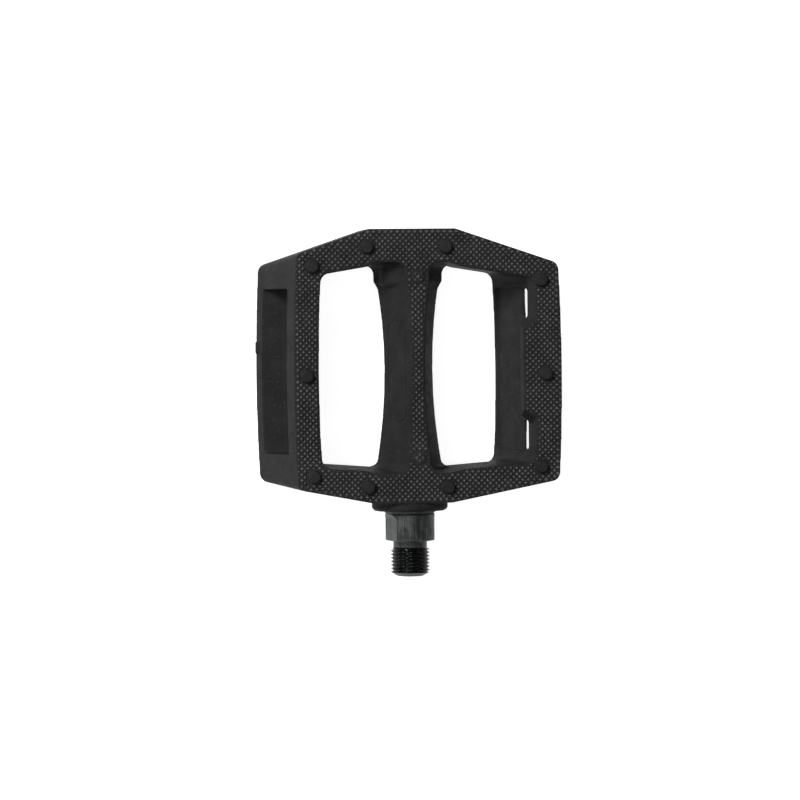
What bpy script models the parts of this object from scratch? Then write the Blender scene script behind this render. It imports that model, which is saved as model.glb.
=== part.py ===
"""Flat pedal for a bicycle: a moulded platform that turns on a steel spindle on two rows of loose balls.

Metres, +Z up out of the upper tread, +Y along the spindle away from the crank, origin at the middle of the
whole length on the spindle's axis. Shapes are drawn from the middle of the side rails, and RAIL_MIDDLE_Y
places them. The platform looks the same from above and below when it is turned over about the spindle.
"""

import math

import bmesh
import bpy
from mathutils import Matrix, Vector

# Overall lengths along Y, from the middle of the side rails.
OUTBOARD_END = 0.0523
THREAD_TIP = -0.0732
RAIL_MIDDLE_Y = -(OUTBOARD_END + THREAD_TIP) / 2

# Platform block. Both side walls lean, so the upper face sits further along +X than the lower one.
HALF_HEIGHT = 0.0130
OUTER_WALL_X, OUTER_LEAN = 0.04855, 0.435
INNER_WALL_X, INNER_LEAN = 0.03905, 0.396
RAIL_BOW, RAIL_HALF_LENGTH = 0.0010, 0.0390
OUTBOARD_FLAT, OUTBOARD_SLOPE = 0.0157, 0.339
INBOARD_END, INBOARD_FLAT, INBOARD_SLOPE = -0.0462, 0.0138, 0.194
CORNER_RADIUS, FLAT_RADIUS = 0.0033, 0.0020

# The opening between the rails, before the centre bar is added.
WINDOW_OUTBOARD, WINDOW_OUTBOARD_SLOPE = 0.0392, 0.165
WINDOW_INBOARD, WINDOW_INBOARD_SLOPE = -0.0334, 0.076
WINDOW_FLAT, WINDOW_FADE = 0.0130, 0.0180
WINDOW_OUTBOARD_DRAFT, WINDOW_INBOARD_DRAFT = 0.0002, 0.0012
WINDOW_MIDDLE_DRAFT = 0.0009
WINDOW_RADIUS = 0.0036
NOTCH_DEPTH, NOTCH_START, NOTCH_FULL = 0.0009, 0.0030, 0.0089

# Centre bar: a leaning six-sided section that widens towards both ends.
BAR_MIDDLE_Y, BAR_REACH = 0.0020, 0.0320
BAR_SIDE_X, BAR_SIDE_GROWTH, BAR_SIDE_Z = 0.0084, 0.0027, 0.0030
STRIP_SHORT, STRIP_SHORT_GROWTH = 0.0006, 0.0016
STRIP_LONG, STRIP_LONG_GROWTH = 0.0040, 0.0020
BAR_FILLET, STRIP_FILLET = 0.0030, 0.0038
BAR_START, BAR_STOP = -0.0385, 0.0445
SHOULDER_Y, SHOULDER_RUN, SHOULDER_STEP = 0.0307, 0.0028, 0.0011

# Bosses round the bearings.
HOUSING_RADIUS, HOUSING_START, HOUSING_STOP = 0.0104, 0.0316, 0.0460
BOSS_HALF_WIDTH, BOSS_HALF_HEIGHT = 0.0138, 0.0128
BOSS_END, BOSS_CHAMFER = -0.0494, 0.0010

# Side rail details, drawn on the +X rail.
RAIL_DETAIL_Y = 0.0014
POCKET_HALF_LENGTH, POCKET_LOW, POCKET_HIGH = 0.0297, -0.0078, 0.0089
POCKET_FLOOR_X, POCKET_FLOOR_LEAN = 0.0419, 0.30
RECESS_HALF_LENGTH, RECESS_LOW, RECESS_HIGH, RECESS_DEPTH = 0.0295, -0.0116, 0.0089, 0.0014
DETAIL_RADIUS = 0.0012
SLOT_INNER, SLOT_OUTER, SLOT_LOW, SLOT_HIGH = 0.0185, 0.0292, 0.0040, 0.0068
SHELF_LOW, SHELF_LOW_X, SHELF_TOP_X = 0.0093, 0.0395, 0.0402
SHELF_LOW_TIP, SHELF_LOW_ROOT, SHELF_TOP_TIP, SHELF_TOP_ROOT = 0.0168, 0.0204, 0.0146, 0.0178

# Traction pins, as X and Y on the upper face.
PIN_RADIUS, PIN_HEIGHT, LOW_PIN_HEIGHT = 0.0022, 0.0018, 0.0004
TALL_PINS = (
    (-0.0164, 0.0458), (0.0121, 0.0456), (-0.0361, 0.0389), (0.0467, 0.0335), (-0.0383, -0.0002),
    (0.0483, -0.0002), (-0.0361, -0.0361), (0.0464, -0.0337), (-0.0165, -0.0402), (0.0123, -0.0405),
)
LOW_PINS = ((0.0021, 0.0350), (0.0019, -0.0300))

# Bearings. FIT is the gap between pieces that are pressed or screwed together, RUN the play round a ball.
FIT, RUN = 0.00015, 0.00012
BALL_RADIUS = 0.0015875
RACE_RADIUS = BALL_RADIUS + RUN
INBOARD_PITCH, INBOARD_BALL_Y, INBOARD_BALLS = 0.0069, -0.0442, 13
OUTBOARD_PITCH, OUTBOARD_BALL_Y, OUTBOARD_BALLS = 0.0062, 0.0366, 11
INBOARD_CUP_RADIUS, INBOARD_CUP_BACK, INBOARD_CUP_FRONT, INBOARD_CUP_HOLE = 0.0096, -0.0416, -0.0460, 0.0063
OUTBOARD_CUP_RADIUS, OUTBOARD_CUP_BACK, OUTBOARD_CUP_FRONT, OUTBOARD_CUP_HOLE = 0.0086, 0.0340, 0.0384, 0.0052

# Spindle.
CRANK_THREAD_RADIUS, CRANK_TIP_RADIUS, CRANK_TIP_CHAMFER = 0.0071, 0.0047, 0.0014
NECK_RADIUS, NECK_START = 0.0061, -0.0627
COLLAR_RADIUS, COLLAR_FACE, COLLAR_BACK = 0.0090, -0.0603, -0.0505
FLAT_DISTANCE, FLAT_ANGLE, FLAT_BACK, FLAT_RUN_OUT = 0.0075, math.radians(74), -0.0524, 1.7
SEAL_LAND_RADIUS = 0.0082
SHAFT_RADIUS, SHAFT_END_RADIUS = 0.0043, 0.0041
STUD_RADIUS, STUD_START, STUD_END = 0.0037, 0.0315, 0.0490
KEYWAY_WIDTH, KEYWAY_DEPTH, KEYWAY_START = 0.0013, 0.0009, 0.0355

# Small pieces round the spindle.
BORE_RADIUS, WAIST_RADIUS = 0.0064, 0.0047
CONE_RADIUS, CONE_NOSE, CONE_BACK = 0.0073, 0.0362, 0.0420
WASHER_RADIUS, WASHER_START, WASHER_END, KEY_WIDTH = 0.0062, 0.0423, 0.0432, 0.0010
NUT_ACROSS_FLATS, NUT_START, NUT_END = 0.0120, 0.0435, 0.0480
CAP_RADIUS, CAP_FACE, CAP_RIM_BACK = 0.0093, 0.0521, 0.0504
CAP_SKIRT_RADIUS, CAP_SKIRT_INSIDE, CAP_SKIRT_END = 0.0085, 0.0075, 0.0462
SEAL_RADIUS, SEAL_LIP_RADIUS, SEAL_INSIDE, SEAL_START, SEAL_END = 0.0095, 0.0091, 0.0084, -0.0502, -0.0463

# Facets round a turned piece, round a pin, and in a rounded corner.
TURN_STEPS, PIN_STEPS, CORNER_STEPS = 32, 16, 4
HALF_TURN = Matrix.Rotation(math.pi, 4, "Y")


def clear_scene():
    for obj in list(bpy.data.objects):
        bpy.data.objects.remove(obj, do_unlink=True)


# ---------------------------------------------------------------- outlines


def rounded(corners):
    """A closed outline of (x, y) points from (x, y, radius) corners."""
    outline = []
    for index, (x, y, radius) in enumerate(corners):
        here = Vector((x, y))
        if radius == 0:
            outline.append(here)
            continue
        back = (Vector(corners[index - 1][:2]) - here).normalized()
        ahead = (Vector(corners[(index + 1) % len(corners)][:2]) - here).normalized()
        half_angle = back.angle(ahead) / 2
        centre = here + (back + ahead).normalized() * (radius / math.sin(half_angle))
        reach = radius / math.tan(half_angle)
        start, end = here + back * reach - centre, here + ahead * reach - centre
        for step in range(CORNER_STEPS + 1):
            blend = start.lerp(end, step / CORNER_STEPS)
            outline.append(centre + blend.normalized() * radius)
    return outline


def bow(y):
    """How far a side rail has drawn in at y, next to its middle."""
    return RAIL_BOW * (y / RAIL_HALF_LENGTH) ** 2


def bowed_side(x, y_from, y_to, points=5):
    """Corners along a rail between two ends, both left out."""
    side = 1 if x > 0 else -1
    steps = [y_from + (y_to - y_from) * (n + 1) / (points + 1) for n in range(points)]
    return [(x - side * bow(y), y, 0) for y in steps]


def outer_end(x, end, flat, slope):
    """Y of the platform's end at x, whose middle is flat and whose sides slope back."""
    run = max(0.0, abs(x) - flat) * slope
    return end - run if end > 0 else end + run


def platform_outline(z):
    lean = OUTER_LEAN * z
    right, left = OUTER_WALL_X + lean, -OUTER_WALL_X + lean
    corners = []
    for x, turn in ((right, 1), (left, -1)):
        corner_x = x - math.copysign(RAIL_BOW, x)
        outboard = outer_end(corner_x, OUTBOARD_END, OUTBOARD_FLAT, OUTBOARD_SLOPE)
        inboard = outer_end(corner_x, INBOARD_END, INBOARD_FLAT, INBOARD_SLOPE)
        start, stop = (inboard, outboard) if turn > 0 else (outboard, inboard)
        corners.append((corner_x, start, CORNER_RADIUS))
        corners += bowed_side(x, start, stop)
        corners.append((corner_x, stop, CORNER_RADIUS))
        flat = OUTBOARD_FLAT if turn > 0 else -INBOARD_FLAT
        end = OUTBOARD_END if turn > 0 else INBOARD_END
        corners += [(flat, end, FLAT_RADIUS), (-flat, end, FLAT_RADIUS)]
    return rounded(corners)


def window_end(x, z, outboard):
    """Y of the opening's end. The end leans away from mid height, and leans more next to the centre bar."""
    part = min(abs(z) / HALF_HEIGHT, 1.2)
    fade = (WINDOW_FADE - abs(x)) / (WINDOW_FADE - WINDOW_FLAT)
    draft = WINDOW_OUTBOARD_DRAFT if outboard else WINDOW_INBOARD_DRAFT
    draft += WINDOW_MIDDLE_DRAFT * min(max(fade, 0.0), 1.0)
    if outboard:
        return outer_end(x, WINDOW_OUTBOARD, WINDOW_FLAT, WINDOW_OUTBOARD_SLOPE) + draft * part
    return outer_end(x, WINDOW_INBOARD, WINDOW_FLAT, WINDOW_INBOARD_SLOPE) - draft * part


def notch(z):
    """How much further a rail's inner wall stands back, up under the tread that overhangs it."""
    return NOTCH_DEPTH * min(max((z - NOTCH_START) / (NOTCH_FULL - NOTCH_START), 0.0), 1.0)


def window_outline(z):
    lean = INNER_LEAN * z
    right, left = INNER_WALL_X + lean + notch(z), -INNER_WALL_X + lean - notch(-z)
    corners = []
    for x, turn in ((right, 1), (left, -1)):
        corner_x = x - math.copysign(RAIL_BOW, x)
        outboard, inboard = window_end(corner_x, z, True), window_end(corner_x, z, False)
        start, stop = (inboard, outboard) if turn > 0 else (outboard, inboard)
        corners.append((corner_x, start, WINDOW_RADIUS))
        corners += bowed_side(x, start, stop)
        corners.append((corner_x, stop, WINDOW_RADIUS))
        for end_x in (WINDOW_FADE, WINDOW_FLAT, -WINDOW_FLAT, -WINDOW_FADE):
            corners.append((end_x * turn, window_end(end_x, z, turn > 0), 0))
    return rounded(corners)


# ---------------------------------------------------------------- meshes


def mesh_of(name, build):
    """A mesh with outward normals from a function that fills a bmesh."""
    mesh = bpy.data.meshes.new(name)
    work = bmesh.new()
    build(work)
    bmesh.ops.recalc_face_normals(work, faces=work.faces)
    work.to_mesh(mesh)
    work.free()
    return mesh


def loft(work, loops, capped=True):
    """Joins closed loops of points that have the same count, and caps the first and the last."""
    rings = [[work.verts.new(point) for point in loop] for loop in loops]
    for ring, after in zip(rings, rings[1:]):
        for n in range(len(ring)):
            m = (n + 1) % len(ring)
            work.faces.new((ring[n], ring[m], after[m], after[n]))
    if capped:
        work.faces.new(rings[0])
        work.faces.new(rings[-1])
    return rings


def around(radius, y, steps=TURN_STEPS, phase=0.0):
    """A circle of points about the spindle's axis."""
    turns = [phase + 2 * math.pi * n / steps for n in range(steps)]
    return [(radius * math.cos(turn), y, radius * math.sin(turn)) for turn in turns]


def turned_solid(name, profile, steps=TURN_STEPS):
    """A solid turned about Y from an open profile of (radius, y) points."""
    loops = [around(radius, y, steps) for radius, y in profile]
    return mesh_of(name, lambda work: loft(work, loops))


def turned_ring(name, profile, steps=TURN_STEPS):
    """A ring turned about Y from a closed profile of (radius, y) points."""

    def build(work):
        rings = loft(work, [around(radius, y, steps) for radius, y in profile], capped=False)
        for n in range(steps):
            m = (n + 1) % steps
            work.faces.new((rings[-1][n], rings[-1][m], rings[0][m], rings[0][n]))

    return mesh_of(name, build)


def box_mesh(name, low, high):
    loops = [
        [(low[0], low[1], z), (high[0], low[1], z), (high[0], high[1], z), (low[0], high[1], z)]
        for z in (low[2], high[2])
    ]
    return mesh_of(name, lambda work: loft(work, loops))


def race(pitch, y, start_deg, end_deg, steps=5):
    """Profile points of a ball race. The angle goes from the radius towards +Y."""
    turns = [math.radians(start_deg + (end_deg - start_deg) * n / steps) for n in range(steps + 1)]
    return [(pitch + RACE_RADIUS * math.cos(turn), y + RACE_RADIUS * math.sin(turn)) for turn in turns]


# ---------------------------------------------------------------- objects


def material(name, color, roughness, metallic):
    made = bpy.data.materials.new(name)
    made.use_nodes = True
    shader = made.node_tree.nodes["Principled BSDF"]
    shader.inputs["Base Color"].default_value = (*color, 1)
    shader.inputs["Roughness"].default_value = roughness
    shader.inputs["Metallic"].default_value = metallic
    return made


def turning_axis(name):
    """An empty on the spindle's axis, which the pieces of one moving group have as their parent."""
    empty = bpy.data.objects.new(name, None)
    empty.location = (0, RAIL_MIDDLE_Y, 0)
    bpy.context.scene.collection.objects.link(empty)
    return empty


def piece(name, mesh, parent, finish, sharp_deg=35):
    obj = bpy.data.objects.new(name, mesh)
    obj.parent = parent
    bpy.context.scene.collection.objects.link(obj)
    if not mesh.materials:
        mesh.materials.append(finish)
    mesh.shade_smooth()
    mesh.set_sharp_from_angle(angle=math.radians(sharp_deg))
    return obj


def tool_group(name, meshes, parent):
    """Shapes that a Boolean adds or takes away, in a collection of their own."""
    group = bpy.data.collections.new(name)
    bpy.context.scene.collection.children.link(group)
    for mesh in meshes:
        tool = bpy.data.objects.new(mesh.name, mesh)
        tool.parent = parent
        tool.hide_render = True
        tool.display_type = "WIRE"
        group.objects.link(tool)
    return group


def boolean(obj, operation, meshes):
    modifier = obj.modifiers.new(operation.lower(), "BOOLEAN")
    modifier.operation = operation
    modifier.operand_type = "COLLECTION"
    modifier.collection = tool_group(f"{obj.name}_{len(obj.modifiers)}_tools", meshes, obj.parent)


# ---------------------------------------------------------------- platform


def both_ways(meshes):
    """The meshes and their copies turned over about the spindle."""
    turned = []
    for mesh in meshes:
        copy = mesh.copy()
        copy.transform(HALF_TURN)
        turned.append(copy)
    return meshes + turned


def rail_prism(name, y_range, z_range, walls):
    """A rounded prism let into the +X rail. It reaches between two walls that lean and bow."""
    (y0, y1), (z0, z1) = y_range, z_range
    middle = ((y0 + y1) / 2, (z0 + z1) / 2)
    corners = [(y0, z0), (middle[0], z0), (y1, z0), (y1, z1), (middle[0], z1), (y0, z1)]
    outline = rounded([(y, z, 0 if y == middle[0] else DETAIL_RADIUS) for y, z in corners])
    loops = [[(wall_x + lean * z - bow(y), y, z) for y, z in outline] for wall_x, lean in walls]
    return mesh_of(name, lambda work: loft(work, loops))


def rail_cuts():
    clear = 0.004
    middle = RAIL_DETAIL_Y
    pocket_y = (middle - POCKET_HALF_LENGTH, middle + POCKET_HALF_LENGTH)
    recess_y = (middle - RECESS_HALF_LENGTH, middle + RECESS_HALF_LENGTH)
    pocket = ((POCKET_FLOOR_X, POCKET_FLOOR_LEAN), (OUTER_WALL_X + clear, OUTER_LEAN))
    recess = ((INNER_WALL_X - clear, INNER_LEAN), (INNER_WALL_X + RECESS_DEPTH, INNER_LEAN))
    slot = ((INNER_WALL_X - clear, INNER_LEAN), (INNER_WALL_X + clear, INNER_LEAN))
    cuts = [
        rail_prism("pocket", pocket_y, (POCKET_LOW, POCKET_HIGH), pocket),
        rail_prism("recess", recess_y, (RECESS_LOW, RECESS_HIGH), recess),
    ]
    for side in (-1, 1):
        ends = sorted((middle + side * SLOT_INNER, middle + side * SLOT_OUTER))
        cuts.append(rail_prism("slot", ends, (SLOT_LOW, SLOT_HIGH), slot))
    return both_ways(cuts)


def rail_shelf():
    """The wider tread in the middle of a rail. Its inner face and its slanted ends slope."""
    levels = (
        (SHELF_LOW, SHELF_LOW_X, SHELF_LOW_TIP, SHELF_LOW_ROOT),
        (HALF_HEIGHT, SHELF_TOP_X, SHELF_TOP_TIP, SHELF_TOP_ROOT),
    )
    loops = []
    for z, x, tip, root in levels:
        root_x = INNER_WALL_X + INNER_LEAN * z + RECESS_DEPTH
        outline = [(x, -tip), (root_x, -root), (root_x, root), (x, tip)]
        loops.append([(point_x, RAIL_DETAIL_Y + y, z) for point_x, y in outline])
    return mesh_of("shelf", lambda work: loft(work, loops))


def end_fillet(y, radius, z):
    """Extra half-width of the bar where it runs into the ends of the opening at height z."""
    gap = min(window_end(0.0, z, True) - y, y - window_end(0.0, z, False))
    if gap >= radius:
        return 0.0
    reach = radius - max(gap, 0.0)
    return radius - math.sqrt(max(radius**2 - reach**2, 0.0))


def bar_section(y):
    growth = min(((y - BAR_MIDDLE_Y) / BAR_REACH) ** 2, 1.0)
    shoulder = min(max((y - SHOULDER_Y) / SHOULDER_RUN, 0.0), 1.0)
    side = BAR_SIDE_X + BAR_SIDE_GROWTH * growth + SHOULDER_STEP * shoulder + end_fillet(y, BAR_FILLET, 0.0)
    flare = end_fillet(y, STRIP_FILLET, HALF_HEIGHT)
    short = STRIP_SHORT + STRIP_SHORT_GROWTH * growth + flare
    long = STRIP_LONG + STRIP_LONG_GROWTH * growth + flare
    half = [(-short, HALF_HEIGHT), (-side, -BAR_SIDE_Z), (-long, -HALF_HEIGHT)]
    ring = half + [(-x, -z) for x, z in half]
    return [(x, y, z) for x, z in ring]


def centre_bar():
    stations = [BAR_START, BAR_STOP, SHOULDER_Y, SHOULDER_Y + SHOULDER_RUN]
    stations += [-0.0240, -0.0160, -0.0080, 0.0020, 0.0110, 0.0190, 0.0260]
    for z, radius in ((0.0, BAR_FILLET), (HALF_HEIGHT, STRIP_FILLET)):
        for part in (0.0, 0.15, 0.4, 1.0):
            stations.append(window_end(0.0, z, False) + radius * part)
            stations.append(window_end(0.0, z, True) - radius * part)
    return mesh_of("bar", lambda work: loft(work, [bar_section(y) for y in sorted(stations)]))


def housings():
    tip = 0.0012
    outboard = turned_solid(
        "housing",
        [
            (HOUSING_RADIUS - tip, HOUSING_START),
            (HOUSING_RADIUS, HOUSING_START + tip),
            (HOUSING_RADIUS, HOUSING_STOP),
        ],
    )
    shrunk = BOSS_HALF_WIDTH - BOSS_CHAMFER
    inboard = turned_solid(
        "boss",
        [
            (shrunk, BOSS_END),
            (BOSS_HALF_WIDTH, BOSS_END + BOSS_CHAMFER),
            (BOSS_HALF_WIDTH, INBOARD_END + 0.006),
        ],
    )
    inboard.transform(Matrix.Diagonal((1, 1, BOSS_HALF_HEIGHT / BOSS_HALF_WIDTH, 1)))
    return [outboard, inboard]


def pins():
    sunk = 0.0008
    made = []
    for places, height in ((TALL_PINS, PIN_HEIGHT), (LOW_PINS, LOW_PIN_HEIGHT)):
        for x, y in places:
            turns = [2 * math.pi * n / PIN_STEPS for n in range(PIN_STEPS)]
            circle = [(x + PIN_RADIUS * math.cos(turn), y + PIN_RADIUS * math.sin(turn)) for turn in turns]
            loops = [[(px, py, z) for px, py in circle] for z in (HALF_HEIGHT - sunk, HALF_HEIGHT + height)]
            made.append(mesh_of("pin", lambda work, loops=loops: loft(work, loops)))
    return both_ways(made)


def bearing_bore():
    past = 0.002
    inboard, outboard = INBOARD_CUP_RADIUS + FIT, OUTBOARD_CUP_RADIUS + FIT
    rim = CAP_RADIUS + FIT
    return turned_solid(
        "bore",
        [
            (inboard, BOSS_END - past),
            (inboard, INBOARD_CUP_BACK + FIT),
            (BORE_RADIUS, INBOARD_CUP_BACK + FIT),
            (BORE_RADIUS, WINDOW_INBOARD - past * 2),
            (WAIST_RADIUS, WINDOW_INBOARD - past),
            (WAIST_RADIUS, OUTBOARD_CUP_BACK - FIT - past),
            (OUTBOARD_CUP_HOLE, OUTBOARD_CUP_BACK - FIT),
            (outboard, OUTBOARD_CUP_BACK - FIT),
            (outboard, CAP_RIM_BACK - FIT),
            (rim, CAP_RIM_BACK - FIT),
            (rim, OUTBOARD_END + past),
        ],
    )


def pedal_body(parent, finish):
    block = [[(x, y, z) for x, y in platform_outline(z)] for z in (-HALF_HEIGHT, HALF_HEIGHT)]
    past = HALF_HEIGHT + 0.002
    levels = (-past, -NOTCH_FULL, -NOTCH_START, 0.0, NOTCH_START, NOTCH_FULL, past)
    opening = [[(x, y, z) for x, y in window_outline(z)] for z in levels]
    body = piece("pedal_body", mesh_of("pedal_body", lambda work: loft(work, block)), parent, finish)
    boolean(body, "DIFFERENCE", [mesh_of("opening", lambda work: loft(work, opening))])
    boolean(body, "DIFFERENCE", rail_cuts())
    boolean(body, "UNION", [centre_bar()])
    boolean(body, "UNION", both_ways([rail_shelf()]))
    boolean(body, "UNION", housings())
    boolean(body, "UNION", pins())
    boolean(body, "DIFFERENCE", [bearing_bore()])
    return body


# ---------------------------------------------------------------- spindle and its small pieces


def flat_cutters():
    """Blocks that mill the two wrench flats of the collar. Each flat runs out up a slope at its back."""
    past = 0.004
    wide = COLLAR_RADIUS * 1.5
    start, top = COLLAR_FACE - past / 4, FLAT_DISTANCE + past
    slope_end = FLAT_BACK + past * FLAT_RUN_OUT
    section = [(start, FLAT_DISTANCE), (FLAT_BACK, FLAT_DISTANCE), (slope_end, top), (start, top)]
    loops = [[(x, y, z) for y, z in section] for x in (-wide, wide)]
    cutter = mesh_of("flat", lambda work: loft(work, loops))
    cutter.transform(Matrix.Rotation(-FLAT_ANGLE, 4, "Y"))
    return both_ways([cutter])


def keyway_box(width, bottom, top, y_range):
    return box_mesh("key", (-width / 2, y_range[0], bottom), (width / 2, y_range[1], top))


def spindle(parent, finish):
    profile = [
        (CRANK_TIP_RADIUS, THREAD_TIP),
        (CRANK_THREAD_RADIUS, THREAD_TIP + CRANK_TIP_CHAMFER),
        (CRANK_THREAD_RADIUS, NECK_START - (CRANK_THREAD_RADIUS - NECK_RADIUS) / 2),
        (NECK_RADIUS, NECK_START),
        (NECK_RADIUS, COLLAR_FACE),
        (COLLAR_RADIUS, COLLAR_FACE),
        (COLLAR_RADIUS, COLLAR_BACK),
        (SEAL_LAND_RADIUS, COLLAR_BACK),
        (SEAL_LAND_RADIUS, INBOARD_BALL_Y - RACE_RADIUS),
        *race(INBOARD_PITCH, INBOARD_BALL_Y, 270, 180),
        (INBOARD_PITCH - RACE_RADIUS, INBOARD_CUP_BACK),
        (SHAFT_RADIUS, WINDOW_INBOARD - 0.003),
        (SHAFT_END_RADIUS, STUD_START - 0.001),
        (STUD_RADIUS, STUD_START),
        (STUD_RADIUS, STUD_END - 0.0006),
        (STUD_RADIUS - 0.0006, STUD_END),
    ]
    made = piece("spindle", turned_solid("spindle", profile), parent, finish)
    bottom, past = STUD_RADIUS - KEYWAY_DEPTH, 0.002
    keyway = keyway_box(KEYWAY_WIDTH, bottom, STUD_RADIUS + past, (KEYWAY_START, STUD_END + past))
    boolean(made, "DIFFERENCE", flat_cutters() + [keyway])


def inboard_cup(parent, finish):
    profile = [
        (INBOARD_CUP_HOLE, INBOARD_CUP_BACK),
        (INBOARD_CUP_RADIUS, INBOARD_CUP_BACK),
        (INBOARD_CUP_RADIUS, INBOARD_CUP_FRONT),
        (INBOARD_PITCH + RACE_RADIUS, INBOARD_CUP_FRONT),
        *race(INBOARD_PITCH, INBOARD_BALL_Y, 0, 90),
        (INBOARD_CUP_HOLE, INBOARD_BALL_Y + RACE_RADIUS),
    ]
    piece("inboard_bearing_cup", turned_ring("inboard_bearing_cup", profile), parent, finish)


def outboard_cup(parent, finish):
    profile = [
        (OUTBOARD_CUP_HOLE, OUTBOARD_CUP_BACK),
        (OUTBOARD_CUP_RADIUS, OUTBOARD_CUP_BACK),
        (OUTBOARD_CUP_RADIUS, OUTBOARD_CUP_FRONT),
        (OUTBOARD_PITCH + RACE_RADIUS, OUTBOARD_CUP_FRONT),
        *race(OUTBOARD_PITCH, OUTBOARD_BALL_Y, 0, -90),
        (OUTBOARD_CUP_HOLE, OUTBOARD_BALL_Y - RACE_RADIUS),
    ]
    piece("outboard_bearing_cup", turned_ring("outboard_bearing_cup", profile), parent, finish)


def ball_row(prefix, count, pitch, y, parent, finish):
    def build(work):
        bmesh.ops.create_icosphere(work, subdivisions=2, radius=BALL_RADIUS)

    mesh = mesh_of(prefix, build)
    for n in range(count):
        turn = 2 * math.pi * n / count
        ball = piece(f"{prefix}_{n + 1:02d}", mesh, parent, finish, sharp_deg=180)
        ball.location = (pitch * math.sin(turn), y, pitch * math.cos(turn))


def outboard_cone(parent, finish):
    hole = STUD_RADIUS + FIT
    profile = [
        (hole, CONE_BACK),
        (hole, CONE_NOSE),
        (OUTBOARD_PITCH - RACE_RADIUS, CONE_NOSE),
        *race(OUTBOARD_PITCH, OUTBOARD_BALL_Y, 180, 90),
        (CONE_RADIUS, OUTBOARD_BALL_Y + RACE_RADIUS),
        (CONE_RADIUS, CONE_BACK),
    ]
    piece("outboard_cone", turned_ring("outboard_cone", profile), parent, finish)


def keyed_washer(parent, finish):
    hole = STUD_RADIUS + FIT
    profile = [
        (hole, WASHER_START), (WASHER_RADIUS, WASHER_START), (WASHER_RADIUS, WASHER_END), (hole, WASHER_END)
    ]
    washer = piece("keyed_washer", turned_ring("keyed_washer", profile), parent, finish)
    bottom, inset = STUD_RADIUS - KEYWAY_DEPTH + FIT, (WASHER_END - WASHER_START) / 5
    span = (WASHER_START + inset, WASHER_END - inset)
    boolean(washer, "UNION", [keyway_box(KEY_WIDTH, bottom, hole + 0.0008, span)])


def lock_nut(parent, finish):
    hole = STUD_RADIUS + FIT
    corner = NUT_ACROSS_FLATS / 2 / math.cos(math.pi / 6)
    edge = 0.0007
    loops = [
        around(corner - edge, NUT_START, steps=6),
        around(corner, NUT_START + edge / 2, steps=6),
        around(corner, NUT_END - edge / 2, steps=6),
        around(corner - edge, NUT_END, steps=6),
    ]
    nut = piece("lock_nut", mesh_of("lock_nut", lambda work: loft(work, loops)), parent, finish)
    past = 0.001
    boolean(nut, "DIFFERENCE", [turned_solid("nut_hole", [(hole, NUT_START - past), (hole, NUT_END + past)])])


def dust_cap(parent, finish):
    profile = [
        (CAP_RADIUS - 0.0005, CAP_FACE),
        (CAP_RADIUS, CAP_FACE - 0.0005),
        (CAP_RADIUS, CAP_RIM_BACK),
        (CAP_SKIRT_RADIUS, CAP_RIM_BACK),
        (CAP_SKIRT_RADIUS, CAP_SKIRT_END),
        (CAP_SKIRT_INSIDE, CAP_SKIRT_END),
        (CAP_SKIRT_INSIDE, CAP_RIM_BACK),
    ]
    piece("dust_cap", turned_solid("dust_cap", profile), parent, finish)


def dust_seal(parent, finish):
    profile = [
        (SEAL_INSIDE, SEAL_START),
        (SEAL_LIP_RADIUS, SEAL_START),
        (SEAL_LIP_RADIUS, BOSS_END),
        (SEAL_RADIUS, BOSS_END + 0.0003),
        (SEAL_RADIUS, SEAL_END),
        (SEAL_INSIDE, SEAL_END),
    ]
    piece("dust_seal", turned_ring("dust_seal", profile), parent, finish)


def main():
    clear_scene()
    nylon = material("black_nylon", (0.018, 0.018, 0.019), 0.5, 0.0)
    steel = material("black_steel", (0.06, 0.065, 0.065), 0.35, 0.9)
    bright = material("bearing_steel", (0.55, 0.56, 0.58), 0.2, 1.0)
    zinc = material("zinc_steel", (0.45, 0.46, 0.47), 0.35, 1.0)
    rubber = material("seal_rubber", (0.02, 0.02, 0.02), 0.75, 0.0)
    cap_plastic = material("cap_plastic", (0.02, 0.02, 0.02), 0.45, 0.0)

    held = turning_axis("spindle_axis")
    platform = turning_axis("platform_axis")
    inboard_row = turning_axis("inboard_balls_axis")
    outboard_row = turning_axis("outboard_balls_axis")

    pedal_body(platform, nylon)
    spindle(held, steel)
    dust_seal(platform, rubber)
    dust_cap(platform, cap_plastic)
    inboard_cup(platform, bright)
    outboard_cup(platform, bright)
    ball_row("inboard_ball", INBOARD_BALLS, INBOARD_PITCH, INBOARD_BALL_Y, inboard_row, bright)
    ball_row("outboard_ball", OUTBOARD_BALLS, OUTBOARD_PITCH, OUTBOARD_BALL_Y, outboard_row, bright)
    outboard_cone(held, bright)
    keyed_washer(held, zinc)
    lock_nut(held, zinc)


main()
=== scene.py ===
"""Looks of the flat pedal: moulded body skin, knurled treads, threaded spindle, seal, cap and materials."""

import math

import bmesh
import bpy
import numpy as np
from mathutils import Matrix, Vector
from mathutils.bvhtree import BVHTree


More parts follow.
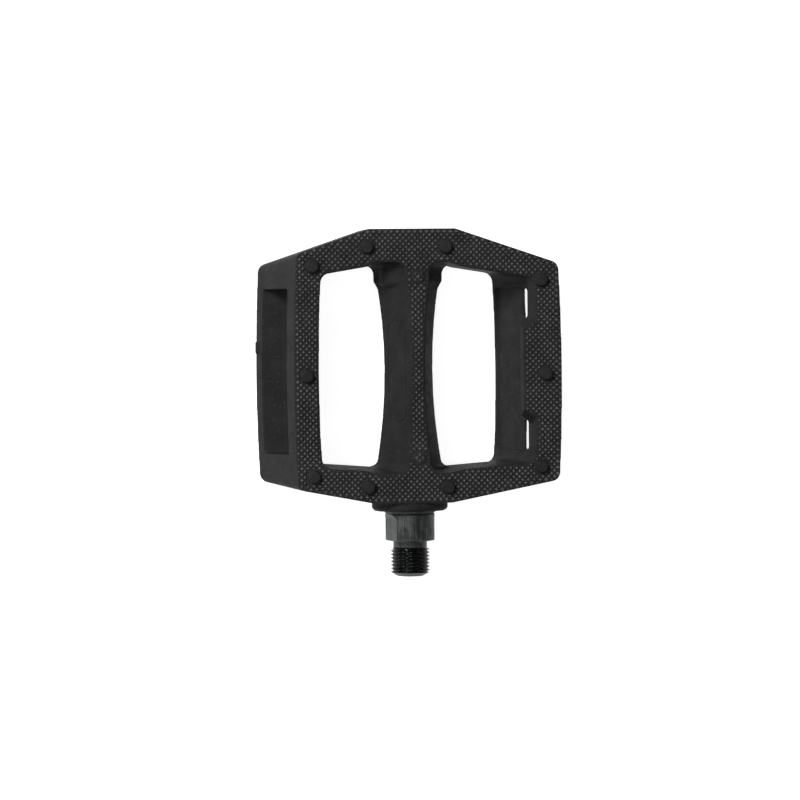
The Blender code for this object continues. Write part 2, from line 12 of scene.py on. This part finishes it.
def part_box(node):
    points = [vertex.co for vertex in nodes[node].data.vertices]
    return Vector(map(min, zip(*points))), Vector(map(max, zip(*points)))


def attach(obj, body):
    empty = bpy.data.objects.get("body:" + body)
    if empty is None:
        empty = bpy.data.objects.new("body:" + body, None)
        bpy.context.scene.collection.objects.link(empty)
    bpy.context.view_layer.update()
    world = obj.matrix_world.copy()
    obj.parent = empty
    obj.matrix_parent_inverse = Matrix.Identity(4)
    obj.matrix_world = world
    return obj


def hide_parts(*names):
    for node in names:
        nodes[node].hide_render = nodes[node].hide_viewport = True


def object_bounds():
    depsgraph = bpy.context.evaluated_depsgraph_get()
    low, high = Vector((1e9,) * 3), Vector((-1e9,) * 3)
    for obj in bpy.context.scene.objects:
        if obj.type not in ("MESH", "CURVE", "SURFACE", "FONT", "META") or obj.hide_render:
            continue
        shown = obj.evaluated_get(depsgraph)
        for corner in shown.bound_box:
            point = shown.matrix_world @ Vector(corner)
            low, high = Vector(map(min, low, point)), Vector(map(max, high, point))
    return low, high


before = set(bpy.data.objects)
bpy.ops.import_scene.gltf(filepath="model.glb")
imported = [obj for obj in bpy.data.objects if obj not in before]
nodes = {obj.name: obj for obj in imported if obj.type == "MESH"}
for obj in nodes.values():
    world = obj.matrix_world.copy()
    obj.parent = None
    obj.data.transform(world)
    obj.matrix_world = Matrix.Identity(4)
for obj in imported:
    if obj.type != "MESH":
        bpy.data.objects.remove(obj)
cad_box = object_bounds()

MM = 0.001
HALF_TURN = Matrix.Rotation(math.pi, 4, "Y")
RAIL_MIDDLE = Vector((0, 10.45, 0)) * MM

# Camera: almost straight above, tipped a little towards the left rail and the outboard end.
CAMERA_DISTANCE = 1160 * MM
CAMERA_YAW, CAMERA_PITCH, CAMERA_ROLL = math.radians(8), math.radians(1.25), math.radians(0.6)
CAMERA_AIM = RAIL_MIDDLE + Vector((-3.17, -9.4, 0)) * MM
CAMERA_SENSOR = 36.0
VIEW_WIDTH = 289.86 * MM

# Lights: name, place, size and power in watts. Lengths are in metres, and each light faces the origin.
LIGHTS = (
    ("key", (-0.55, 0.50, 0.72), (0.32, 0.32), 8.5),
    ("left_strip", (-0.62, -0.08, 1.0), (0.06, 2.2), 5.5),
    ("right_strip", (0.85, -0.08, 0.95), (0.05, 2.2), 1.2),
)
SKY_STRENGTH = 0.07
FLOOR_HALF, FLOOR_GAP = 3.0, 0.2 * MM
FLOOR_TONE, FLOOR_GLOW = 0.7, 0.88

# Moulded skin of the body.
VOXEL = 0.28 * MM
SKIN_SMOOTHING = 3
SKIN_TRIANGLES, ENGRAVED_TRIANGLES = 165000, 190000
PIN_RADIUS, PIN_CHAMFER, PIN_DEPTH, PIN_SIDES = 2.2 * MM, 0.35 * MM, 3 * MM, 48

# Gate mark left by the moulding, low on the left rail.
GATE_NUB_PLACE, GATE_NUB_SIZE = Vector((-53.75, 20.4, -11.6)) * MM, Vector((1.4, 4.6, 2.2)) * MM
GATE_NUB_ROUNDING = 0.3 * MM

# Knurl of the treads: diamonds on a staggered lattice.
KNURL_PITCH = 2.13 * MM
KNURL_ORIGIN = Vector((46.86, 41.26)) * MM
KNURL_HEIGHT, KNURL_SINK = 0.50 * MM, 0.10 * MM
KNURL_BASE, KNURL_SHOULDER, KNURL_TOP = 1.0, 0.40, 0.22
KNURL_SHOULDER_RISE = 0.82
KNURL_SIZES = (1.0, 0.8, 0.6, 0.42)
TREAD_LEVEL = 13 * MM
TREAD_STRAY, TREAD_STEP, TREAD_UPRIGHT = 0.8 * MM, 0.2 * MM, 0.93
RAY_START = 50 * MM

# Engraved outline on the flanks of the centre bar, as seen from straight above.
PAD_MIDDLE = Vector((-4.6, 11.6)) * MM
PAD_HALF_WIDTH, PAD_HALF_LENGTH, PAD_STRETCH = 3.07 * MM, 18.15 * MM, 1.27
PAD_GROOVE_WIDTH, PAD_GROOVE_DEPTH = 0.26 * MM, 0.50 * MM
PAD_EDGE, PAD_REACH, PAD_ROUNDS = 0.13 * MM, 0.5 * MM, 8
FLANK_OUTER, FLANK_INNER, FLANK_LOW = -9 * MM, -1.2 * MM, -2.9 * MM
FLANK_BORE = 5.6 * MM

# Crank end of the spindle. Places along it are measured in the same frame as the body.
CREST_RADIUS, ROOT_RADIUS, THREAD_PITCH = 7.1 * MM, 6.3 * MM, 1.27 * MM
TIP_Y, TIP_RADIUS, TIP_CHAMFER = -62.75 * MM, 4.7 * MM, 1.4 * MM
NECK_RADIUS, THREAD_START = 6.1 * MM, -52.25 * MM
COLLAR_RADIUS, COLLAR_FACE, COLLAR_BACK = 9.0 * MM, -49.85 * MM, -40.05 * MM
FLAT_DISTANCE, FLAT_TURN, FLAT_BACK, FLAT_RUN_OUT = 7.5 * MM, math.radians(-74), -41.95 * MM, 1.7
EDGE_ROUNDING = 0.3 * MM
CREST_FLAT, CREST_RISE, THREAD_FADE = 0.10, 0.80, 0.6
SCRATCH_DEPTHS = (0.0, 0.03, 0.07)
SPINDLE_STEPS = 288


# ---------------------------------------------------------------- stage


def link(obj):
    bpy.context.scene.collection.objects.link(obj)
    return obj


def camera():
    out = Vector((-math.sin(CAMERA_YAW), math.sin(CAMERA_PITCH), math.cos(CAMERA_YAW))).normalized()
    place = RAIL_MIDDLE + out * CAMERA_DISTANCE
    back = (place - CAMERA_AIM).normalized()
    top = Vector((math.sin(CAMERA_ROLL), math.cos(CAMERA_ROLL), 0))
    right = top.cross(back).normalized()
    top = back.cross(right)
    data = bpy.data.cameras.new("camera")
    data.sensor_width = CAMERA_SENSOR
    data.lens = CAMERA_SENSOR * CAMERA_DISTANCE / VIEW_WIDTH
    eye = link(bpy.data.objects.new("camera", data))
    turn = Matrix((right, top, back)).transposed().to_4x4()
    eye.matrix_world = Matrix.Translation(place) @ turn
    bpy.context.scene.camera = eye


def softbox(name, place, size, power):
    data = bpy.data.lights.new(name, "AREA")
    data.shape = "RECTANGLE"
    data.size, data.size_y = size
    data.energy = power
    lamp = link(bpy.data.objects.new(name, data))
    lamp.location = place
    lamp.rotation_euler = (-Vector(place)).to_track_quat("-Z", "Y").to_euler()


def studio():
    bpy.context.scene.view_settings.view_transform = "Standard"
    world = bpy.data.worlds.new("studio")
    bpy.context.scene.world = world
    world.use_nodes = True
    sky = world.node_tree.nodes["Background"]
    sky.inputs["Color"].default_value = (1, 1, 1, 1)
    sky.inputs["Strength"].default_value = SKY_STRENGTH
    for light in LIGHTS:
        softbox(*light)
    mesh = bpy.data.meshes.new("floor")
    half, z = FLOOR_HALF, cad_box[0][2] - FLOOR_GAP
    corners = [(-half, -half, z), (half, -half, z), (half, half, z), (-half, half, z)]
    mesh.from_pydata(corners, [], [(0, 1, 2, 3)])
    floor = link(bpy.data.objects.new("floor", mesh))
    paint = bpy.data.materials.new("floor_paint")
    paint.use_nodes = True
    shader = paint.node_tree.nodes["Principled BSDF"]
    shader.inputs["Base Color"].default_value = (FLOOR_TONE, FLOOR_TONE, FLOOR_TONE, 1)
    shader.inputs["Roughness"].default_value = 1.0
    shader.inputs["Specular IOR Level"].default_value = 0.0
    shader.inputs["Emission Color"].default_value = (1, 1, 1, 1)
    shader.inputs["Emission Strength"].default_value = FLOOR_GLOW
    mesh.materials.append(paint)


# ---------------------------------------------------------------- materials


class Nodes:
    """Short calls that add nodes to one material's tree."""

    def __init__(self, name):
        self.material = bpy.data.materials.new(name)
        self.material.use_nodes = True
        self.tree = self.material.node_tree
        self.shader = self.tree.nodes["Principled BSDF"]
        self.place = self.add("ShaderNodeTexCoord").outputs["Object"]

    def add(self, kind, **settings):
        node = self.tree.nodes.new(kind)
        for key, value in settings.items():
            setattr(node, key, value)
        return node

    def join(self, source, target):
        self.tree.links.new(source, target)

    def stretched(self, scale):
        node = self.add("ShaderNodeMapping")
        node.inputs["Scale"].default_value = scale
        self.join(self.place, node.inputs["Vector"])
        return node.outputs["Vector"]

    def noise(self, size, detail=2.0, roughness=0.5, place=None):
        """Noise whose features are about size metres across."""
        node = self.add("ShaderNodeTexNoise")
        node.inputs["Scale"].default_value = 1.0 / size
        node.inputs["Detail"].default_value = detail
        node.inputs["Roughness"].default_value = roughness
        self.join(place or self.place, node.inputs["Vector"])
        return node.outputs["Fac"]

    def ramp(self, value, low, high, to_low=0.0, to_high=1.0):
        node = self.add("ShaderNodeMapRange")
        for key, number in (("From Min", low), ("From Max", high), ("To Min", to_low), ("To Max", to_high)):
            node.inputs[key].default_value = number
        self.join(value, node.inputs["Value"])
        return node.outputs["Result"]

    def math(self, operation, first, second):
        node = self.add("ShaderNodeMath", operation=operation)
        for slot, value in enumerate((first, second)):
            if isinstance(value, float):
                node.inputs[slot].default_value = value
            else:
                self.join(value, node.inputs[slot])
        return node.outputs["Value"]

    def blend(self, amount, first, second):
        """Mixes two colours, each a tuple or an output, by a 0 to 1 amount."""
        node = self.add("ShaderNodeMix", data_type="RGBA")
        self.join(amount, node.inputs["Factor"])
        for slot, color in ((6, first), (7, second)):
            if isinstance(color, tuple):
                node.inputs[slot].default_value = (*color, 1)
            else:
                self.join(color, node.inputs[slot])
        return node.outputs[2]

    def bump(self, height, distance, strength=1.0, below=None):
        node = self.add("ShaderNodeBump")
        node.inputs["Distance"].default_value = distance
        node.inputs["Strength"].default_value = strength
        self.join(height, node.inputs["Height"])
        if below is not None:
            self.join(below, node.inputs["Normal"])
        return node.outputs["Normal"]

    def finish(self, color=None, roughness=None, normal=None, **numbers):
        for key, output in (("Base Color", color), ("Roughness", roughness), ("Normal", normal)):
            if output is not None:
                self.join(output, self.shader.inputs[key])
        for key, number in numbers.items():
            self.shader.inputs[key.replace("_", " ")].default_value = number
        return self.material


def edge_wear_and_highlight(kit, low, high):
    """Bright where the surface turns sharply outwards: partly edge wear and partly a painted highlight where
    edges catch light, broken up by noise.
    """
    edges = kit.ramp(kit.add("ShaderNodeNewGeometry").outputs["Pointiness"], low, high)
    return kit.math("MULTIPLY", edges, kit.ramp(kit.noise(1.5 * MM, detail=4.0), 0.35, 0.7, 0.3, 1.0))


def nylon(name, dark, light, roughness, edge=0.02):
    """Black moulded nylon: cloudy tone, fine grain, paler edges that are partly rubbed wear and partly a
    painted highlight.
    """
    kit = Nodes(name)
    clouds = kit.ramp(kit.noise(9 * MM, detail=5.0, roughness=0.6), 0.3, 0.7)
    specks = kit.ramp(kit.noise(0.7 * MM, detail=2.0), 0.62, 0.74, 0.0, 0.5)
    color = kit.blend(clouds, dark, light)
    color = kit.blend(specks, color, tuple(2.5 * part for part in light))
    # Sharp outward edges lightened to the edge tone: partly rubbed wear, partly a painted highlight where
    # edges catch light.
    color = kit.blend(edge_wear_and_highlight(kit, 0.52, 0.62), color, (edge, edge, edge))
    gloss = kit.ramp(kit.noise(3 * MM, detail=4.0), 0.3, 0.7, roughness - 0.06, roughness + 0.08)
    grain = kit.bump(kit.noise(0.28 * MM, detail=3.0), 0.02 * MM, 0.6)
    ripple = kit.bump(kit.noise(4 * MM, detail=2.0), 0.05 * MM, 0.4, below=grain)
    return kit.finish(color, gloss, ripple, Specular_IOR_Level=0.02)


def tread_nylon():
    """Knurl: painted shade in the grooves and a painted highlight on the points, which stand proud of the
    tread, broken up by scuff-like patches.
    """
    kit = Nodes("black_nylon_tread")
    parts = kit.add("ShaderNodeSeparateXYZ")
    kit.join(kit.place, parts.inputs["Vector"])
    height = kit.math("ABSOLUTE", parts.outputs["Z"], 0.0)
    rise = kit.ramp(height, TREAD_LEVEL - 0.05 * MM, TREAD_LEVEL + KNURL_HEIGHT)
    scuff_and_highlight_patches = kit.ramp(kit.noise(5 * MM, detail=5.0, roughness=0.65), 0.35, 0.7, 0.35, 1.0)
    # Colour by height: painted shade low in the grooves, painted highlight on the raised points, patchy by
    # noise.
    color = kit.blend(kit.math("MULTIPLY", rise, scuff_and_highlight_patches), (0.004, 0.004, 0.004), (0.10, 0.10, 0.101))
    gloss = kit.ramp(kit.noise(0.8 * MM, detail=3.0), 0.3, 0.7, 0.32, 0.5)
    return kit.finish(color, gloss, kit.bump(kit.noise(0.2 * MM, detail=2.0), 0.02 * MM, 0.5))


def black_steel(name, dark, light, roughness):
    """Black oxide on steel: fine axial streaks, faint turned rings, paler edges that are partly wear and
    partly a painted highlight.
    """
    kit = Nodes(name)
    streaks = kit.noise(0.5 * MM, detail=2.0, place=kit.stretched((1.0, 0.06, 1.0)))
    rings = kit.noise(0.4 * MM, detail=2.0, place=kit.stretched((0.05, 1.0, 0.05)))
    patches = kit.noise(3 * MM, detail=4.0)
    color = kit.blend(kit.ramp(kit.math("MULTIPLY", streaks, patches), 0.16, 0.34), dark, light)
    # Sharp outward edges lightened: partly wear, partly a painted highlight where edges catch light.
    color = kit.blend(edge_wear_and_highlight(kit, 0.52, 0.60), color, tuple(2.2 * part for part in light))
    gloss = kit.ramp(kit.math("ADD", rings, patches), 0.7, 1.3, roughness - 0.08, roughness + 0.1)
    normal = kit.bump(streaks, 0.01 * MM, 0.5, below=kit.bump(rings, 0.01 * MM, 0.4))
    return kit.finish(color, gloss, normal, Metallic=0.5)


def bright_steel(name, color, roughness):
    """Ground or plated steel: fine rings about the spindle and a few darker stains."""
    kit = Nodes(name)
    rings = kit.noise(0.3 * MM, detail=2.0, place=kit.stretched((0.2, 1.0, 0.2)))
    stains = kit.ramp(kit.noise(2 * MM, detail=4.0), 0.55, 0.75)
    shade = kit.blend(stains, color, tuple(0.75 * part for part in color))
    gloss = kit.ramp(rings, 0.3, 0.7, roughness - 0.05, roughness + 0.08)
    return kit.finish(shade, gloss, kit.bump(rings, 0.005 * MM, 0.5), Metallic=1.0)


def rubber():
    kit = Nodes("seal_rubber_skin")
    dust = kit.ramp(kit.noise(1.2 * MM, detail=5.0), 0.45, 0.75)
    color = kit.blend(dust, (0.045, 0.045, 0.045), (0.09, 0.089, 0.087))
    gloss = kit.ramp(dust, 0.0, 1.0, 0.55, 0.8)
    return kit.finish(color, gloss, kit.bump(kit.noise(0.25 * MM, detail=3.0), 0.03 * MM, 0.6))


# ---------------------------------------------------------------- meshes


def new_piece(name, mesh, material, body, smooth_deg=40.0):
    piece = link(bpy.data.objects.new(name, mesh))
    mesh.materials.clear()
    mesh.materials.append(material)
    mesh.shade_smooth()
    mesh.set_sharp_from_angle(angle=math.radians(smooth_deg))
    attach(piece, body)
    return piece


def applied(obj):
    """The object's mesh with its modifiers in it, and no modifiers left."""
    graph = bpy.context.evaluated_depsgraph_get()
    mesh = bpy.data.meshes.new_from_object(obj.evaluated_get(graph))
    obj.modifiers.clear()
    obj.data = mesh
    return mesh


def thinned(obj, triangles):
    """The object's mesh, collapsed to about so many triangles where it is flattest."""
    count = sum(len(face.vertices) - 2 for face in obj.data.polygons)
    decimate = obj.modifiers.new("decimate", "DECIMATE")
    decimate.ratio = min(1.0, triangles / count)
    return applied(obj)


def coordinates(mesh):
    flat = np.empty(len(mesh.vertices) * 3, np.float32)
    mesh.vertices.foreach_get("co", flat)
    return flat.reshape(-1, 3).astype(float)


def finer_turned(name, material, body, steps=144, bevel=0.12 * MM):
    """A rounder copy of a CAD node that was turned about the spindle's axis."""
    work = bmesh.new()
    work.from_mesh(nodes[name].data)
    turn_of = {vert: math.atan2(vert.co.x, vert.co.z) for vert in work.verts}
    station = min(turn for turn in turn_of.values() if turn > 0)
    radius_of = {vert: math.hypot(vert.co.x, vert.co.z) for vert in work.verts}
    on_station = {
        vert for vert in work.verts if radius_of[vert] < 1e-6 or abs(turn_of[vert] - station) < 1e-3
    }
    made = bmesh.new()
    for edge in work.edges:
        if not all(vert in on_station for vert in edge.verts):
            continue
        rings = []
        for vert in edge.verts:
            ring = []
            for step in range(steps):
                turn = 2 * math.pi * step / steps
                radius = radius_of[vert]
                ring.append(made.verts.new((radius * math.sin(turn), vert.co.y, radius * math.cos(turn))))
            rings.append(ring)
        first, second = rings
        for step in range(steps):
            after = (step + 1) % steps
            made.faces.new((first[step], first[after], second[after], second[step]))
    bmesh.ops.remove_doubles(made, verts=made.verts, dist=1e-6)
    bmesh.ops.holes_fill(made, edges=[edge for edge in made.edges if edge.is_boundary])
    bmesh.ops.recalc_face_normals(made, faces=made.faces)
    mesh = bpy.data.meshes.new(name + "_round")
    made.to_mesh(mesh)
    piece = new_piece(name + "_round", mesh, material, body, smooth_deg=30)
    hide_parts(name)
    rounding = piece.modifiers.new("rounding", "BEVEL")
    rounding.width = bevel
    rounding.segments = 3
    rounding.limit_method = "ANGLE"
    rounding.angle_limit = math.radians(30)


# ---------------------------------------------------------------- body skin


def pin_centres(level):
    """Middles, on the upper face, of the pins whose tops are level metres above mid height."""
    points = coordinates(nodes["pedal_body"].data)
    tops = points[np.abs(points[:, 2] - level) < 0.05 * MM][:, :2]
    centres = []
    while len(tops):
        near = np.hypot(*(tops - tops[0]).T) < 2.2 * PIN_RADIUS
        centres.append((tops[near].min(0) + tops[near].max(0)) / 2)
        tops = tops[~near]
    return centres


def add_pin(work, x, y, foot, top):
    """A round pin with a chamfered top, joined to the skin by the remesh."""
    levels = ((PIN_RADIUS, foot), (PIN_RADIUS, top - PIN_CHAMFER / 2), (PIN_RADIUS - PIN_CHAMFER, top))
    rings = []
    for radius, z in levels:
        turns = [2 * math.pi * n / PIN_SIDES for n in range(PIN_SIDES)]
        rings.append([
            work.verts.new((x + radius * math.cos(turn), y + radius * math.sin(turn), z)) for turn in turns
        ])
    for low, high in zip(rings, rings[1:]):
        for n in range(PIN_SIDES):
            m = (n + 1) % PIN_SIDES
            work.faces.new((low[n], low[m], high[m], high[n]))
    work.faces.new(rings[0][::-1])
    work.faces.new(rings[-1])


def pad_distance(x, y):
    """Distance from the engraved outline, seen from above and stretched across the flank."""
    across = abs(x - PAD_MIDDLE.x) * PAD_STRETCH
    along = max(abs(y - PAD_MIDDLE.y) - (PAD_HALF_LENGTH - PAD_HALF_WIDTH), 0.0)
    return abs(math.hypot(across, along) - PAD_HALF_WIDTH)


def pad_place(point):
    """Face of the bar (1 or -1) and distance from the outline for a point on a flank, or None."""
    side = 1.0 if point.x < 0 else -1.0
    x, z = side * point.x, side * point.z
    if not FLANK_OUTER < x < FLANK_INNER or z < FLANK_LOW or math.hypot(x, z) < FLANK_BORE:
        return None
    return side, pad_distance(x, point.y)


def engrave(mesh):
    """Cuts the outline into the bar's upper left flank and, half a turn on, its lower right one."""
    work = bmesh.new()
    work.from_mesh(mesh)
    for _ in range(PAD_ROUNDS):
        long = []
        for edge in work.edges:
            length = edge.calc_length()
            found = length > PAD_EDGE and pad_place((edge.verts[0].co + edge.verts[1].co) / 2)
            if found and found[1] < length / 2 + PAD_REACH:
                long.append(edge)
        if not long:
            break
        bmesh.ops.subdivide_edges(work, edges=long, cuts=1)
        bmesh.ops.triangulate(work, faces=[face for face in work.faces if len(face.verts) > 3])
    for vert in work.verts:
        found = pad_place(vert.co)
        if found:
            vert.co.z -= found[0] * PAD_GROOVE_DEPTH * math.exp(-((found[1] / PAD_GROOVE_WIDTH) ** 2))
    work.to_mesh(mesh)


def body_skin(material):
    """The whole moulding with rounded edges, grown from the CAD body."""
    cad = nodes["pedal_body"]
    work = bmesh.new()
    work.from_mesh(cad.data)
    bmesh.ops.remove_doubles(work, verts=work.verts, dist=0.002 * MM)
    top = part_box("pedal_body")[1].z
    extra = bmesh.new()
    for x, y in pin_centres(top):
        add_pin(extra, x, y, top - PIN_DEPTH, top)
    pins = bpy.data.meshes.new("pins")
    extra.to_mesh(pins)
    work.from_mesh(pins)
    pins.transform(HALF_TURN)
    work.from_mesh(pins)
    shape = Matrix.Translation(GATE_NUB_PLACE) @ Matrix.Diagonal((*GATE_NUB_SIZE, 1))
    nub = bmesh.ops.create_cube(work, size=1.0, matrix=shape)["verts"]
    bmesh.ops.bevel(
        work, geom=list({edge for vert in nub for edge in vert.link_edges}), offset=GATE_NUB_ROUNDING,
        segments=2, affect="EDGES"
    )
    mesh = bpy.data.meshes.new("body_skin")
    work.to_mesh(mesh)
    skin = link(bpy.data.objects.new("body_skin", mesh))
    remesh = skin.modifiers.new("remesh", "REMESH")
    remesh.mode = "VOXEL"
    remesh.voxel_size = VOXEL * 1
    smooth = skin.modifiers.new("smooth", "SMOOTH")
    smooth.iterations = SKIN_SMOOTHING
    applied(skin)
    engrave(thinned(skin, SKIN_TRIANGLES))
    mesh = thinned(skin, ENGRAVED_TRIANGLES)
    mesh.validate()
    bpy.data.objects.remove(skin)
    skin = new_piece("body_skin", mesh, material, "platform", smooth_deg=60)
    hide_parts("pedal_body")


# ---------------------------------------------------------------- knurl


def tread_height(tree, x, y):
    """Height of the tread at a point, or None where there is no near-level tread."""
    place, normal, _, _ = tree.ray_cast(Vector((x, y, RAY_START)), Vector((0, 0, -1)))
    if place is None or abs(place.z - TREAD_LEVEL) > TREAD_STRAY or normal.z < TREAD_UPRIGHT:
        return None
    return place.z


def knurl(material):
    """A point at each place of the lattice that lies on a tread, smaller where the tread is narrow."""
    work = bmesh.new()
    work.from_mesh(nodes["pedal_body"].data)
    tree = BVHTree.FromBMesh(work)
    low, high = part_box("pedal_body")
    half = KNURL_PITCH / 2
    around = [Vector((math.cos(turn), math.sin(turn))) for turn in np.arange(8) * math.pi / 4]
    spots = []
    first_row = math.floor((low.y - KNURL_ORIGIN.y) / half)
    last_row = math.ceil((high.y - KNURL_ORIGIN.y) / half)
    for row in range(first_row, last_row + 1):
        y = KNURL_ORIGIN.y + row * half
        shift = half if row % 2 else 0.0
        first = math.floor((low.x - KNURL_ORIGIN.x - shift) / KNURL_PITCH)
        last = math.ceil((high.x - KNURL_ORIGIN.x - shift) / KNURL_PITCH)
        for column in range(first, last + 1):
            x = KNURL_ORIGIN.x + shift + column * KNURL_PITCH
            z = tread_height(tree, x, y)
            if z is None:
                continue
            for size in KNURL_SIZES:
                reach = half * size * 0.95
                rim = [tread_height(tree, x + way.x * reach, y + way.y * reach) for way in around]
                if all(height is not None and abs(height - z) < TREAD_STEP for height in rim):
                    spots.append((x, y, z, size))
                    break
    levels = (
        (KNURL_BASE, -KNURL_SINK),
        (KNURL_SHOULDER, KNURL_SHOULDER_RISE * KNURL_HEIGHT),
        (KNURL_TOP, KNURL_HEIGHT),
    )
    ways = np.array([(1, 0), (0, 1), (-1, 0), (0, -1)], float)
    points, faces = [], []
    for x, y, z, size in spots:
        base = len(points)
        for part, height in levels:
            ring = ways * half * part * size
            rise = height * size if height > 0 else height
            points += [(x + dx, y + dy, z + rise) for dx, dy in ring]
        faces.append((base + 3, base + 2, base + 1, base))
        for step in (base, base + 4):
            for n in range(4):
                m = (n + 1) % 4
                faces.append((step + n, step + m, step + 4 + m, step + 4 + n))
        faces.append((base + 8, base + 9, base + 10, base + 11))
    upper = bpy.data.meshes.new("upper_knurl")
    upper.from_pydata(points, [], faces)
    lower = upper.copy()
    lower.transform(HALF_TURN)
    new_piece("upper_knurl", upper, material, "platform", smooth_deg=20)
    new_piece("lower_knurl", lower, material, "platform", smooth_deg=20)


# ---------------------------------------------------------------- spindle


def spindle_radius(y, turn, scratch):
    """Radius of the crank end at one place along and round it."""
    if y < THREAD_START + EDGE_ROUNDING:
        phase = (y / THREAD_PITCH + turn / (2 * math.pi)) % 1.0
        crest = min(max((1 - abs(2 * phase - 1) - CREST_FLAT) / CREST_RISE, 0.0), 1.0)
        crest *= crest * (3 - 2 * crest)
        fade = min(max((THREAD_START - y) / (THREAD_FADE * THREAD_PITCH), 0.0), 1.0)
        root = NECK_RADIUS + (ROOT_RADIUS - NECK_RADIUS) * fade
        limit = TIP_RADIUS + (CREST_RADIUS - TIP_RADIUS) * (y - TIP_Y) / TIP_CHAMFER
        return min(root + (CREST_RADIUS - ROOT_RADIUS) * crest * fade, limit)
    if y < COLLAR_FACE:
        return NECK_RADIUS
    edge = min(y - COLLAR_FACE, COLLAR_BACK - y, EDGE_ROUNDING)
    radius = COLLAR_RADIUS - (EDGE_ROUNDING - edge)
    away = abs(math.cos(turn - FLAT_TURN))
    flat = FLAT_DISTANCE + max(y - FLAT_BACK, 0.0) / FLAT_RUN_OUT
    if away * radius > flat:
        return flat / away
    depth, low, high = scratch
    return radius - (depth if low < y < high else 0.0)


def crank_end(material, thread_material):
    """Collar with two wrench flats, neck and left-hand thread, made of rings of points."""
    chance = np.random.default_rng(11)
    edge = math.acos(FLAT_DISTANCE / COLLAR_RADIUS)
    corners = [FLAT_TURN + half + side * edge for half in (0, math.pi) for side in (-1, 1)]
    turns = sorted({round(t % (2 * math.pi), 5) for t in corners}
                   | {round(2 * math.pi * n / SPINDLE_STEPS, 5) for n in range(SPINDLE_STEPS)})
    scratches = [
        (chance.choice(SCRATCH_DEPTHS) * MM, COLLAR_FACE + chance.uniform(0.3, 1.5) * MM,
         COLLAR_BACK - chance.uniform(2.6, 5.5) * MM)
        for _ in turns
    ]
    collar = [COLLAR_FACE + part * EDGE_ROUNDING for part in (0.0, 0.5, 1.0)]
    collar += list(np.linspace(COLLAR_FACE + 0.6 * MM, COLLAR_BACK - 0.4 * MM, 30))
    collar += [FLAT_BACK, *(COLLAR_BACK - part * EDGE_ROUNDING for part in (1.0, 0.5, 0.0))]
    collar = [(y, None) for y in sorted(collar)]
    neck = [(y, NECK_RADIUS) for y in (THREAD_START + EDGE_ROUNDING, COLLAR_FACE - EDGE_ROUNDING)]
    neck.append((COLLAR_FACE, NECK_RADIUS + EDGE_ROUNDING))
    thread = [(y, None) for y in np.arange(TIP_Y, THREAD_START + 0.2 * MM, THREAD_PITCH / 10)]
    tip = [(TIP_Y, 0.0), (TIP_Y, TIP_RADIUS - 0.1 * MM)]
    back = [(COLLAR_BACK, 8.0 * MM), (COLLAR_BACK + 0.3 * MM, 0.0)]
    stations = tip + thread + neck + collar + back
    work = bmesh.new()
    rings = []
    for y, fixed in stations:
        ring = []
        for turn, scratch in zip(turns, scratches):
            radius = spindle_radius(y, turn, scratch) if fixed is None else fixed
            ring.append(work.verts.new((radius * math.sin(turn), y, radius * math.cos(turn))))
        rings.append(ring)
    for low, high in zip(rings, rings[1:]):
        for n in range(len(turns)):
            m = (n + 1) % len(turns)
            work.faces.new((low[n], high[n], high[m], low[m]))
    bmesh.ops.remove_doubles(work, verts=work.verts, dist=1e-7)
    bmesh.ops.recalc_face_normals(work, faces=work.faces)
    mesh = bpy.data.meshes.new("crank_end")
    work.to_mesh(mesh)
    piece = new_piece("crank_end", mesh, material, "spindle", smooth_deg=28)
    mesh.materials.append(thread_material)
    for face in mesh.polygons:
        face.material_index = int(TIP_Y + TIP_CHAMFER < face.center.y < THREAD_START)
    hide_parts("spindle")


def inner_shaft(material):
    """The part of the spindle that runs inside the body, from behind the collar."""
    work = bmesh.new()
    work.from_mesh(nodes["spindle"].data)
    everything = [*work.verts, *work.edges, *work.faces]
    cut = bmesh.ops.bisect_plane(
        work, geom=everything, plane_co=(0, COLLAR_BACK + 0.1 * MM, 0), plane_no=(0, -1, 0), clear_outer=True
    )
    edges = [part for part in cut["geom_cut"] if isinstance(part, bmesh.types.BMEdge)]
    bmesh.ops.holes_fill(work, edges=edges)
    mesh = bpy.data.meshes.new("inner_shaft")
    work.to_mesh(mesh)
    piece = new_piece("inner_shaft", mesh, material, "spindle", smooth_deg=30)
    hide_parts("spindle")
    rounding = piece.modifiers.new("rounding", "BEVEL")
    rounding.width = 0.1 * MM
    rounding.segments = 2
    rounding.angle_limit = math.radians(40)


# ---------------------------------------------------------------- build

camera()
studio()
body_plastic = nylon("black_nylon_skin", (0.019, 0.019, 0.020), (0.030, 0.030, 0.031), 0.5)
tread_plastic = tread_nylon()
oxide = black_steel("black_oxide_steel", (0.016, 0.018, 0.017), (0.062, 0.068, 0.066), 0.45)
thread_oxide = black_steel("black_oxide_thread", (0.003, 0.003, 0.003), (0.014, 0.015, 0.015), 0.16)
bearing = bright_steel("bearing_steel_ground", (0.55, 0.56, 0.58), 0.2)
zinc = bright_steel("zinc_plate", (0.45, 0.46, 0.47), 0.35)
seal_rubber = rubber()
cap_plastic = nylon("black_cap_plastic", (0.018, 0.018, 0.018), (0.028, 0.028, 0.028), 0.4)

body_skin(body_plastic)
knurl(tread_plastic)
crank_end(oxide, thread_oxide)
inner_shaft(oxide)
finer_turned("dust_seal", seal_rubber, "platform")
finer_turned("dust_cap", cap_plastic, "platform")
finer_turned("inboard_bearing_cup", bearing, "platform")
finer_turned("outboard_bearing_cup", bearing, "platform")
finer_turned("outboard_cone", bearing, "spindle")

replaced = {"pedal_body": body_plastic, "spindle": oxide, "dust_seal": seal_rubber, "dust_cap": cap_plastic}
plated = {"keyed_washer": zinc, "lock_nut": zinc}
for name, node in nodes.items():
    node.data.materials.clear()
    node.data.materials.append({**replaced, **plated}.get(name, bearing))
    if "ball_" in name:
        rounder = node.modifiers.new("rounder", "SUBSURF")
        rounder.levels = rounder.render_levels = 2
